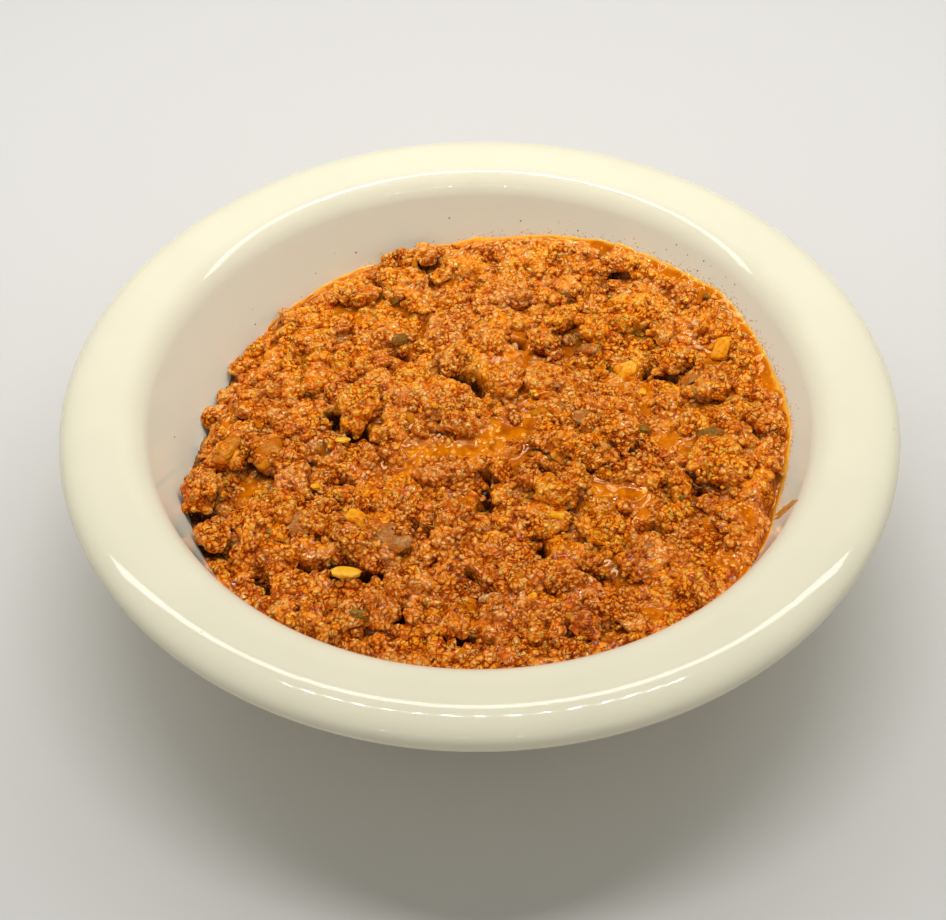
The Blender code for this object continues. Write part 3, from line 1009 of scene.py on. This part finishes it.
class CHILI_OT_meat(bpy.types.Operator):
    """The crumbled meat, from its bed to its loose grains"""

    bl_idname = "chili.meat"
    bl_label = "Meat"

    def execute(self, context):
        heap = context.scene.chili_heap
        bowl = context.scene.chili_bowl
        colours = context.scene.chili_colours
        rng = np.random.default_rng(heap.seed)
        meat = cooked_mince(colours)
        share, turn, faces = disc_grid(heap.bed_rings)
        reach = share * (wall_radius(sauce_line(turn, heap), bowl) + 0.15)
        x, y = reach * np.cos(turn), reach * np.sin(turn)
        flat = level_points(x, y)
        relief, crown, shade = meat_relief(flat, 300)
        knots, knot_own = grains(warped(flat, 6.0, 2.0, 320), 8.0, 330)
        level = heap_level(x, y, heap, bowl) - 3.6 + 2.2 * knots + 0.9 * relief
        inward = wall_radius(sauce_line(turn, heap), bowl) - reach - ring_width(turn)
        bank = 1.8 * (1 - smooth((inward - 1.5) / 5.0))
        ditch = 2.6 * (1 - smooth((inward + 0.6) / 1.0)) * smooth(ring_width(turn) / 0.5)
        level = level + bank - ditch
        bed = np.stack([x, y, level], axis=-1)
        made = {"meat_bed": (bed, faces, {"crown": crown, "shade": 0.8 * knot_own + 0.2 * shade})}
        edge_lumps = [(x, y, radius) for x, y, radius, _ in EDGE_LUMPS]
        # Count, radii, spacing, the ball's steps and cut, flatness, lumpiness, and how the lumps are sunk.
        sizes = (
            ("meat_lumps", 34, (4.8, 7.0), 0.80, 24, -0.2, (0.5, 0.75), 0.34, (-1.4, 0.9), 0.36),
            ("meat_chunks", 44, (3.1, 4.7), 0.80, 18, -0.2, (0.55, 0.85), 0.36, (-1.3, 0.9), 0.34),
            ("meat_crumbles", 130, (1.8, 3.0), 0.78, 11, -0.25, (0.6, 0.95), 0.36, (-2.0, 0.2), 0.30),
        )
        larger = []
        for number, (name, count, radii, spacing, *form, shift, sunk) in enumerate(sizes):
            places = lump_places(rng, count, radii, spacing, larger + edge_lumps, heap, bowl)
            x, y, radius = np.array(places).T
            level = heap_level(x, y, heap, bowl) + rng.uniform(*shift, len(places)) - sunk * radius
            if name == "meat_chunks":
                places = places + edge_lumps
                level = np.append(level, [RIM_HEIGHT - depth for _, _, _, depth in EDGE_LUMPS])
            if name != "meat_crumbles":
                larger = larger + places
            made[name] = lump_cluster(rng, places, level, *form, bowl, 400 + 100 * number)
        # The loose bits, which lie on the rest: as above, but sunk only by a share of their radius.
        small = (
            ("meat_crumbs", 400, (0.9, 1.6), 0.85, 6, -0.3, (0.6, 0.9), 0.42, 0.35),
            ("meat_grains", 1000, (0.45, 0.85), 0.9, 3, -0.5, (0.6, 1.0), 0.45, 0.05),
        )
        for number, (name, count, radii, spacing, *form, sunk) in enumerate(small):
            places = lump_places(rng, count, radii, spacing, [], heap, bowl)
            x, y, radius = np.array(places).T
            level = self.surface(made, x, y)
            dry = level > sauce_level(x, y, heap, bowl) + 0.3
            places = [place for place, kept in zip(places, dry) if kept]
            level = (level - sunk * radius)[dry]
            made[name] = lump_cluster(rng, places, level, *form, bowl, 800 + 100 * number)
        for name, (points, triangles, attributes) in made.items():
            piece = add_mesh(name, points, triangles, meat, attributes)
            if name == "meat_bed":
                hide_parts("chili")
        return {"FINISHED"}

    def surface(self, made, x, y):
        """Height of the meat already placed, read over about a millimetre at each place."""
        cell = 0.5
        grid, half = height_map(np.concatenate([points for points, _, _ in made.values()]), cell)
        level = box_blur(grid, 1)
        return level[cells_at(x, cell, half, np.round), cells_at(y, cell, half, np.round)]


# Cell of the finer height maps, and how far the sauce climbs up the meat that it wets.
FINE_CELL = 0.3
CLIMB = 0.55


class CHILI_OT_sauce(bpy.types.Operator):
    """The sauce between the lumps, its bare ring at the wall and its open pools"""

    bl_idname = "chili.sauce"
    bl_label = "Sauce"

    def execute(self, context):
        heap = context.scene.chili_heap
        bowl = context.scene.chili_bowl
        liquid = chile_sauce(context.scene.chili_colours)
        shore = self.shore(heap, bowl)
        points, triangles, thin = self.sheet(heap, bowl, shore)
        add_mesh("sauce", points, triangles, liquid, {"thin": thin})
        points, triangles, grain = self.pools(heap, bowl, shore)
        add_mesh("sauce_pools", points, triangles, liquid, {"grain": grain})
        return {"FINISHED"}

    def shore(self, heap, bowl):
        """How near the meat that stands out of the sauce is, 0 to 1, on a grid of fine cells."""
        grid, half = height_map(points_of(*MEAT_PIECES), FINE_CELL)
        level = box_blur(grid, 1)
        line = (np.arange(2 * half + 1) - half) * FINE_CELL
        x, y = np.meshgrid(line, line, indexing="ij")
        sauce = sauce_level(x.ravel(), y.ravel(), heap, bowl).reshape(x.shape)
        over = np.clip((level - sauce) / 0.5, 0, 1)
        near = box_blur(np.where(level > 1, over + 1, 0), 2) - 1
        return np.clip(near, 0, 1), half

    def climb(self, x, y, shore):
        """Rise of the sauce where it wets the meat beside it."""
        near, half = shore
        return CLIMB * near[cells_at(x, FINE_CELL, half, np.round), cells_at(y, FINE_CELL, half, np.round)]

    def pools(self, heap, bowl, shore):
        """Finely shaped patches of sauce over the grains that lie just under its skin."""
        points, triangles, grain = [], [], []
        start = 0
        for x_middle, y_middle, radius, _ in POOLS:
            share, turn, faces = disc_grid(int(radius * POOL_REACH / POOL_STEP))
            x = x_middle + POOL_REACH * radius * share * np.cos(turn)
            y = y_middle + POOL_REACH * radius * share * np.sin(turn)
            flat = level_points(x, y)
            kernels, _ = grains(warped(flat, 1.4, 0.7, 810), 1.6, 820, (0.4, 0.9))
            crowded = smooth((soft_noise(flat, 3.5, 830) + 0.35) * 1.4)
            poke = smooth((kernels - 0.4) / 0.45) * (0.15 + 0.85 * crowded)
            level = sauce_level(x, y, heap, bowl) + 0.1 + 0.06 * soft_noise(flat, 2.6, 840) + 0.3 * poke
            level = level + self.climb(x, y, shore) - 0.9 * smooth((share - 0.8) / 0.2)
            points.append(np.stack([x, y, level], axis=-1))
            triangles.append(faces + start)
            grain.append(0.6 * poke)
            start += len(x)
        return np.concatenate(points), np.concatenate(triangles), np.concatenate(grain)

    def sheet(self, heap, bowl, shore):
        """Points, triangles and thinness of the sauce, which fills the well and reaches into the glaze."""
        rings = heap.sauce_rings
        share, turn, faces = disc_grid(rings)
        line = sauce_line(turn, heap)
        contact = wall_radius(line, bowl)
        overlap = 0.3
        reach = (1 - (1 - share) ** 1.4) * (contact + overlap)
        x, y = reach * np.cos(turn), reach * np.sin(turn)
        flat = level_points(x, y)
        level = sauce_level(x, y, heap, bowl) + 0.12 * soft_noise(flat, 5.0, 710) + self.climb(x, y, shore)
        thin = np.exp(-np.clip(contact - reach, 0, None) / (0.35 + 0.5 * ring_width(turn)))
        points = np.stack([x, y, level], axis=-1)
        rim = np.arange(len(points) - 6 * rings, len(points))
        sides = [points]
        bands = []
        upper = rim
        start = len(points)
        bottom = bowl.well_floor / MM + 0.2
        for step in np.linspace(0, 1, 7)[1:]:
            height = level[rim] + (bottom - level[rim]) * step
            radius = wall_radius(height, bowl) + 0.15 * (1 - step)
            sides.append(np.stack([radius * np.cos(turn[rim]), radius * np.sin(turn[rim]), height], axis=-1))
            lower = start + np.arange(len(rim))
            bands.append(np.stack([upper, lower, np.roll(lower, -1)], axis=-1))
            bands.append(np.stack([upper, np.roll(lower, -1), np.roll(upper, -1)], axis=-1))
            upper = lower
            start += len(rim)
        sides.append(np.array([[0, 0, bottom]]))
        bands.append(np.stack([np.full(len(rim), start), np.roll(upper, -1), upper], axis=-1))
        points = np.concatenate(sides)
        faces = np.concatenate([faces] + bands)
        thin = np.concatenate([thin, np.ones(len(points) - len(thin))])
        return points, faces, thin


class CHILI_OT_gap_shade(bpy.types.Operator):
    """Paints shade: marks how deep each point of the meat and sauce lies in a gap, which darkens it as
    painted shade
    """

    bl_idname = "chili.gaps"
    bl_label = "Gaps"

    def execute(self, context):
        names = (*MEAT_PIECES, "sauce", "sauce_pools")
        grid, half = height_map(points_of(*names), FINE_CELL)
        wide = box_blur(grid, 12)
        near = box_blur(grid, 4)
        for name in names:
            points = points_of(name)
            column, row = cells_at(points[:, :2], FINE_CELL, half).T
            below = wide[column, row] - points[:, 2]
            close = near[column, row] - points[:, 2]
            # Painted shade: the further a point lies under the mean height round it, wide and close, the
            # darker its colour is made.
            depth = np.clip(0.32 * (below - 0.35), 0, 0.7) + np.clip(0.25 * (close - 0.3), 0, 0.22)
            add_attribute(bpy.data.objects[name].data, "depth", depth)
        return {"FINISHED"}


def chips(rng, rows, heights, half, cell, bend, sunk, steepest, corners):
    """Soft-edged chips lying on the meat: points and triangles."""
    directions, faces = ball(7, -2)
    count = len(rows)
    x, y, long, wide, thick, turn = np.array(rows).T
    boxy = np.sign(directions) * np.abs(directions) ** corners
    seeds = rng.uniform(-500, 500, (count, 3))
    owner, ways, triangles = strewn(boxy, faces, count)
    form = ways + seeds[owner]
    dents = 0.32 * soft_noise(form, 0.9, 21) + 0.2 * soft_noise(form, 0.35, 22)
    body = ways * (0.92 + dents / (2 * corners))[:, None]
    body = body * 0.5 * np.stack([long, wide, thick], axis=-1)[owner]
    arch = rng.uniform(0.4, 1.0, count)[owner] * bend
    body[:, 2] += arch * (0.6 - (body[:, 0] / (0.5 * long[owner])) ** 2)
    body = spun(body, np.radians(turn)[owner])
    # Each chip leans as the meat under it does, read over its own reach.
    most = 6
    middles = cells_at(np.stack([x, y], axis=-1), cell, half, np.round)
    slopes = []
    for (column, row), reach in zip(np.clip(middles, most, 2 * half - most), np.maximum(long, wide) / 2):
        span_cells = max(1, min(most, int(reach / cell)))
        run = 2 * span_cells * cell
        rise_x = (heights[column + span_cells, row] - heights[column - span_cells, row]) / run
        rise_y = (heights[column, row + span_cells] - heights[column, row - span_cells]) / run
        slopes.append((rise_x, rise_y, heights[column, row]))
    slopes = np.array(slopes)[owner]
    tilt = np.clip(slopes[:, :2], -steepest, steepest)
    turned_x, turned_y = body[:, 0] + x[owner], body[:, 1] + y[owner]
    height = slopes[:, 2] + tilt[:, 0] * (turned_x - x[owner]) + tilt[:, 1] * (turned_y - y[owner])
    return np.stack([turned_x, turned_y, height + body[:, 2] - sunk * thick[owner]], axis=-1), triangles


class CHILI_OT_vegetables(bpy.types.Operator):
    """Chopped onion, peppers, seeds and the small bits that show among the meat"""

    bl_idname = "chili.vegetables"
    bl_label = "Vegetables"

    def execute(self, context):
        heap = context.scene.chili_heap
        bowl = context.scene.chili_bowl
        colours = context.scene.chili_colours
        rng = np.random.default_rng(heap.seed + 1)
        cell = 0.4
        grid, half = height_map(points_of(*MEAT_PIECES[:-1]), cell)
        heights = box_blur(grid, 3)
        # Each kind's places, how many more are strewn and how long, its material's name, colours, stain
        # and folds, and the chips' bend, depth in their own thickness, steepest lean and roundness.
        kinds = (
            ("pepper_bits", PEPPER_BITS, 12, (0.8, 1.7),
             "simmered yellow pepper", "pepper", colours.oil, 0.2, (0.3, -0.2, 0.6, 0.55)),
            ("seeds", SEED_BITS, 0, (1, 1),
             "pepper seed", "seed", colours.seed_low, 0.1, (0.0, -0.6, 0.05, 0.9)),
            ("onion_bits", ONION_BITS, 12, (1.2, 2.6),
             "onion in sauce", "onion", colours.meat_low, 0.7, (0.6, 0.3, 0.6, 0.55)),
            ("clear_onion", CLEAR_BITS, 6, (1.6, 3.0),
             "onion cooked clear", "clear", colours.meat_low, 0.15, (0.6, 0.3, 0.6, 0.55)),
            ("olive_bits", OLIVE_BITS, 14, (0.6, 1.6),
             "simmered green pepper", "olive", colours.meat_low, 0.4, (0.3, 0.0, 0.6, 0.55)),
            ("pale_bits", PALE_BITS, 24, (0.6, 1.2),
             "pale onion bits", "pale", colours.meat_low, 0.4, (0.2, -0.2, 0.6, 0.55)),
        )
        for name, rows, count, lengths, title, shades, stain, folds, form in kinds:
            low, high = getattr(colours, shades + "_low"), getattr(colours, shades + "_high")
            material = soft_vegetable(title, low, high, stain, folds)
            rows = list(rows)
            for x, y, _ in lump_places(rng, count, (1.0, 1.0), 1.6, [], heap, bowl):
                long = rng.uniform(*lengths)
                rows.append((x, y, long, long * rng.uniform(0.45, 0.9), 0.4 * long, rng.uniform(0, 180)))
            points, triangles = chips(rng, rows, heights, half, cell, *form)
            add_mesh(name, keep_in_bowl(points, bowl, CLEAR_OF_WALL), triangles, material)
        return {"FINISHED"}


def on_wall(turn, height, lift, bowl):
    """Places on the bowl's inner face, lifted off it by this much."""
    radius = wall_radius(height, bowl) - lift * math.sin(bowl.wall_tilt)
    height = height + lift * math.cos(bowl.wall_tilt)
    return np.stack([radius * np.cos(turn), radius * np.sin(turn), height], axis=-1)


class CHILI_OT_oil_marks(bpy.types.Operator):
    """The thin oil fringe, its fine specks and one drawn-out smear on the glaze"""

    bl_idname = "chili.oil_marks"
    bl_label = "Oil marks"

    def execute(self, context):
        heap = context.scene.chili_heap
        bowl = context.scene.chili_bowl
        colours = context.scene.chili_colours
        rng = np.random.default_rng(heap.seed + 2)
        film = oil_film(colours)
        dried = dried_sauce(colours)
        # Groups of drops, each as its direction and spread in degrees and its count.
        oil = self.places(rng, ((8, 22, 480), (42, 18, 120), (85, 20, 60), (235, 30, 40)), 0.55)
        self.specks("oil_specks", rng, oil, (0.06, 0.17), film, heap, bowl)
        flecks = self.places(rng, ((30, 30, 14), (90, 40, 8), (150, 40, 5)), 4.0)
        self.specks("dried_specks", rng, flecks, (0.08, 0.2), dried, heap, bowl)
        self.smear(film, heap, bowl)
        return {"FINISHED"}

    def places(self, rng, groups, reach):
        """Directions and heights over the sauce's edge, thick near it and rarer further up."""
        turns, heights = [], []
        for degrees, spread, count in groups:
            turns.append(np.radians(rng.normal(degrees, spread, count)))
            heights.append(rng.exponential(reach, count))
        return np.concatenate(turns), np.concatenate(heights)

    def specks(self, name, rng, places, radii, material, heap, bowl):
        """Flat drops on the wall as one piece."""
        directions, faces = ball(2, 0)
        turn, rise = places
        under_rim = 5.0
        height = np.minimum(sauce_line(turn, heap) + 0.1 + rise, RIM_HEIGHT - under_rim)
        radius = rng.uniform(*radii, len(turn))
        stretch = rng.uniform(0.7, 1.6, len(turn))
        owner, ways, triangles = strewn(directions, faces, len(turn))
        across = ways[:, 0] * (radius * stretch)[owner]
        along = ways[:, 1] * radius[owner]
        lift = ways[:, 2] * 0.25 * radius[owner]
        wide = wall_radius(height[owner], bowl)
        points = on_wall(turn[owner] + across / wide, height[owner] + along, lift, bowl)
        add_mesh(name, points, triangles, material)

    def smear(self, material, heap, bowl):
        """Two joined streaks of oil drawn up over the glaze from the sauce's edge."""
        # Each streak's direction and its drift in degrees, its rise and its half width.
        streaks = ((-18.9, -5.3, 12.6, 1.1), (-20.2, -3.6, 9.6, 0.8))
        steps, width = 40, 8
        along = np.linspace(0, 1, steps + 1)
        share, across = np.meshgrid(along, np.linspace(-1, 1, width + 1), indexing="ij")
        points, faces = [], []
        corner = (np.arange(steps)[:, None] * (width + 1) + np.arange(width)).ravel()
        quads = np.stack([corner, corner + width + 1, corner + width + 2, corner + 1], axis=-1)
        start = float(sauce_line(math.radians(-21), heap)) - 0.3
        for number, (degrees, drift, rise, wide) in enumerate(streaks):
            flat = level_points(share * 8 + 40 * number, across * 2).reshape(-1, 3)
            uneven = 1 + 0.5 * soft_noise(flat, 0.8, 31).reshape(share.shape)
            ragged = wide * np.sin(np.pi * share) ** 0.7 * uneven
            height = start + rise * share
            turn = np.radians(degrees + drift * share) + across * ragged / wall_radius(height, bowl)
            lift = 0.03 + 0.14 * (1 - across**2) * np.sin(np.pi * share)
            points.append(on_wall(turn.ravel(), height.ravel(), lift.ravel(), bowl))
            faces.append(np.concatenate([quads[:, [0, 2, 1]], quads[:, [0, 3, 2]]]) + number * share.size)
        add_mesh("oil_smear", np.concatenate(points), np.concatenate(faces), material)


class CHILI_OT_stage(bpy.types.Operator):
    """Floor, camera and soft studio lights"""

    bl_idname = "chili.stage"
    bl_label = "Stage"

    def execute(self, context):
        stage = context.scene.chili_stage
        colours = context.scene.chili_colours
        mesh = bpy.data.meshes.new("floor")
        half = 4
        corners = [(x * half, y * half, 0) for x, y in ((-1, -1), (1, -1), (1, 1), (-1, 1))]
        mesh.from_pydata(corners, [], [(0, 1, 2, 3)])
        mesh.materials.append(studio_floor(colours))
        floor = bpy.data.objects.new("floor", mesh)
        context.scene.collection.objects.link(floor)
        self.world(context.scene)
        height = stage.ceiling
        self.lamp("soft box", (0.0, 0.12, 0.38), (math.radians(14), 0, 0), (0.7, 0.05), 1.38)
        # Two rows of small lamps give the wet meat its small separate glints: y, gap, size and power.
        rows = ((0.27, 0.066, (0.02, 0.06), 0.42), (-1.45, 0.13, (0.04, 0.02), 0.3))
        each_way = 7
        for row, (y, gap, size, power) in enumerate(rows):
            lean = -math.atan2(y, height)
            for number in range(-each_way, each_way + 1):
                self.lamp(f"strip {row} {number}", (number * gap, y, height), (lean, 0, 0), size, power)
        camera_data = bpy.data.cameras.new("camera")
        camera_data.sensor_fit = "HORIZONTAL"
        camera_data.sensor_width = 36
        camera_data.lens = stage.lens
        camera_data.clip_start = 0.01
        camera = bpy.data.objects.new("camera", camera_data)
        context.scene.collection.objects.link(camera)
        facing = Matrix.Rotation(math.pi / 2 - stage.elevation, 4, "X")
        out = facing.col[2].to_3d() * stage.distance
        aim = (
            Matrix.Rotation(-stage.turn, 4, "Y")
            @ Matrix.Rotation(-stage.tip, 4, "X")
            @ Matrix.Rotation(stage.roll, 4, "Z")
        )
        middle = Matrix.Translation((out.x, out.y, out.z + RIM_HEIGHT * MM))
        camera.matrix_world = middle @ facing @ aim
        context.scene.camera = camera
        context.scene.view_settings.view_transform = "Standard"
        return {"FINISHED"}

    def world(self, scene):
        """Soft light from all round, with a darker patch that keeps the level sauce free of glare."""
        world = bpy.data.worlds.new("studio")
        world.use_nodes = True
        tree = world.node_tree
        way = add_node(tree, "TexCoord").outputs["Generated"]
        turn = math.radians(46)
        patch = (0.0, math.cos(turn), math.sin(turn))
        nearness = add_node(tree, "VectorMath", {0: way, 1: patch}, operation="DOT_PRODUCT")
        strength = add_node(tree, "MapRange", span(nearness, 0.8, 0.97, 0.285, 0.06))
        set_inputs(tree.nodes["Background"], {"Color": (0.92, 0.92, 0.88), "Strength": strength})
        scene.world = world

    def lamp(self, name, place, turn, size, power):
        """A rectangular lamp, which lights the bowl and isn't seen itself."""
        data = bpy.data.lights.new(name, "AREA")
        data.shape = "RECTANGLE"
        data.size, data.size_y = size
        data.energy = power
        lamp = bpy.data.objects.new(name, data)
        lamp.location = place
        lamp.rotation_euler = turn
        lamp.visible_camera = False
        bpy.context.scene.collection.objects.link(lamp)


class CHILI_PT_panel(bpy.types.Panel):
    """Lists the steps that build the bowl of chili"""

    bl_label = "Chili con carne"
    bl_idname = "CHILI_PT_panel"
    bl_space_type = "VIEW_3D"
    bl_region_type = "UI"
    bl_category = "Chili"

    def draw(self, context):
        for operator in OPERATORS:
            self.layout.operator(operator.bl_idname)


GROUPS = {
    "chili_bowl": ChiliBowlSettings,
    "chili_heap": ChiliHeapSettings,
    "chili_colours": ChiliColours,
    "chili_stage": ChiliStageSettings,
}
OPERATORS = (
    CHILI_OT_bowl, CHILI_OT_meat, CHILI_OT_sauce, CHILI_OT_gap_shade, CHILI_OT_vegetables, CHILI_OT_oil_marks,
    CHILI_OT_stage,
)


def register():
    for kind in (*GROUPS.values(), *OPERATORS, CHILI_PT_panel):
        bpy.utils.register_class(kind)
    for name, kind in GROUPS.items():
        setattr(bpy.types.Scene, name, bpy.props.PointerProperty(type=kind))


def unregister():
    for name in GROUPS:
        delattr(bpy.types.Scene, name)
    for kind in reversed((*GROUPS.values(), *OPERATORS, CHILI_PT_panel)):
        bpy.utils.unregister_class(kind)


def main():
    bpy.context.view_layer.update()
    register()
    bpy.ops.chili.stage()
    bpy.ops.chili.bowl()
    bpy.ops.chili.meat()
    bpy.ops.chili.sauce()
    bpy.ops.chili.gaps()
    bpy.ops.chili.vegetables()
    bpy.ops.chili.oil_marks()


if __name__ == "__main__":
    main()
